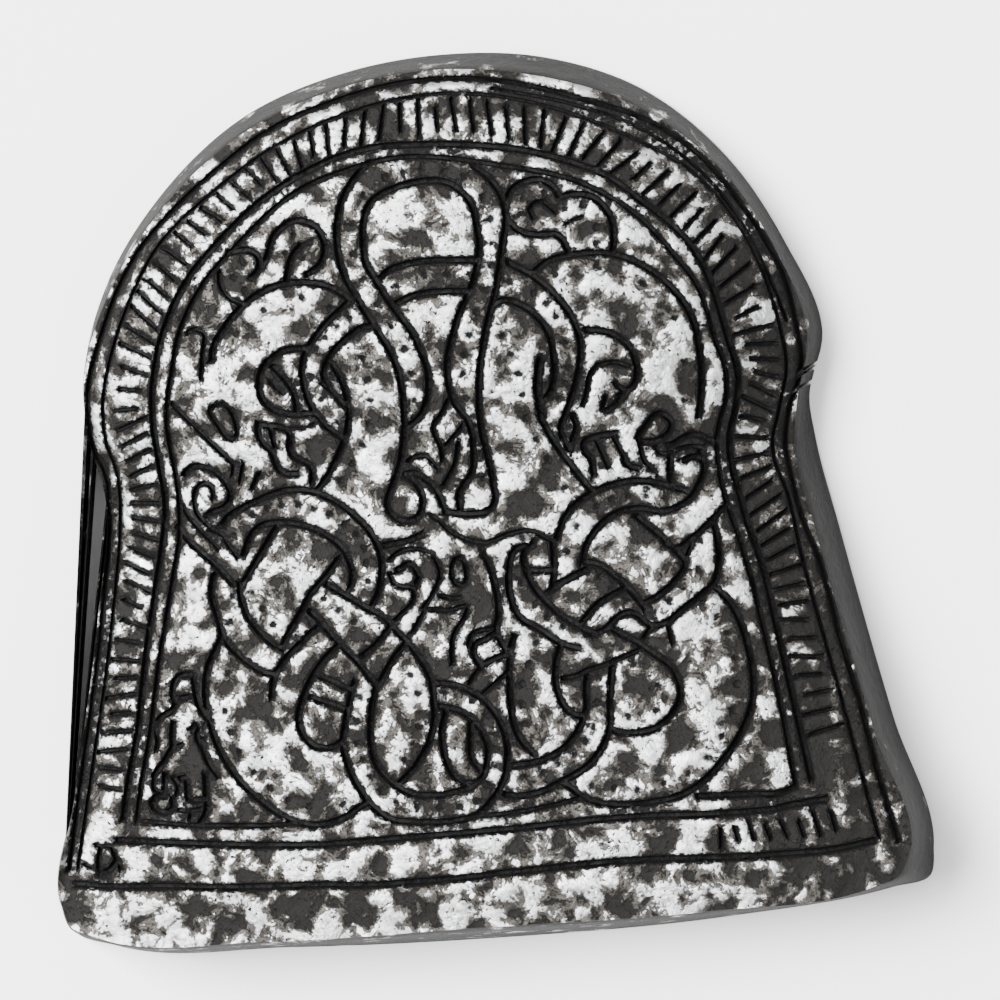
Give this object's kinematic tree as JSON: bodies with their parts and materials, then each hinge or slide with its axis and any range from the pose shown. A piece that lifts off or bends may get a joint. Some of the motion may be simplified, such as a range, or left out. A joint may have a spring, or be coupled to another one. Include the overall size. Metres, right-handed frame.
{
  "type": "souvenir picture stone casting",
  "caption": "Small mushroom-shaped picture stone in antiqued pewter, face carved with interlaced serpents inside a band, flat back.",
  "frame": {"origin": "middle of the piece's box, on the flat back that it lies on", "axes": "+X to the right across the face, +Y from the foot to the top of the arch, +Z out of the flat back through the carved face"},
  "size_m": [0.0606, 0.0612, 0.0095],
  "materials": {
    "pewter": "antiqued white metal: rubbed bright ridges, dark patina in the grooves"
  },
  "bodies": {
    "root": {"rune_stone": "pewter"}
  },
  "joints": []
}
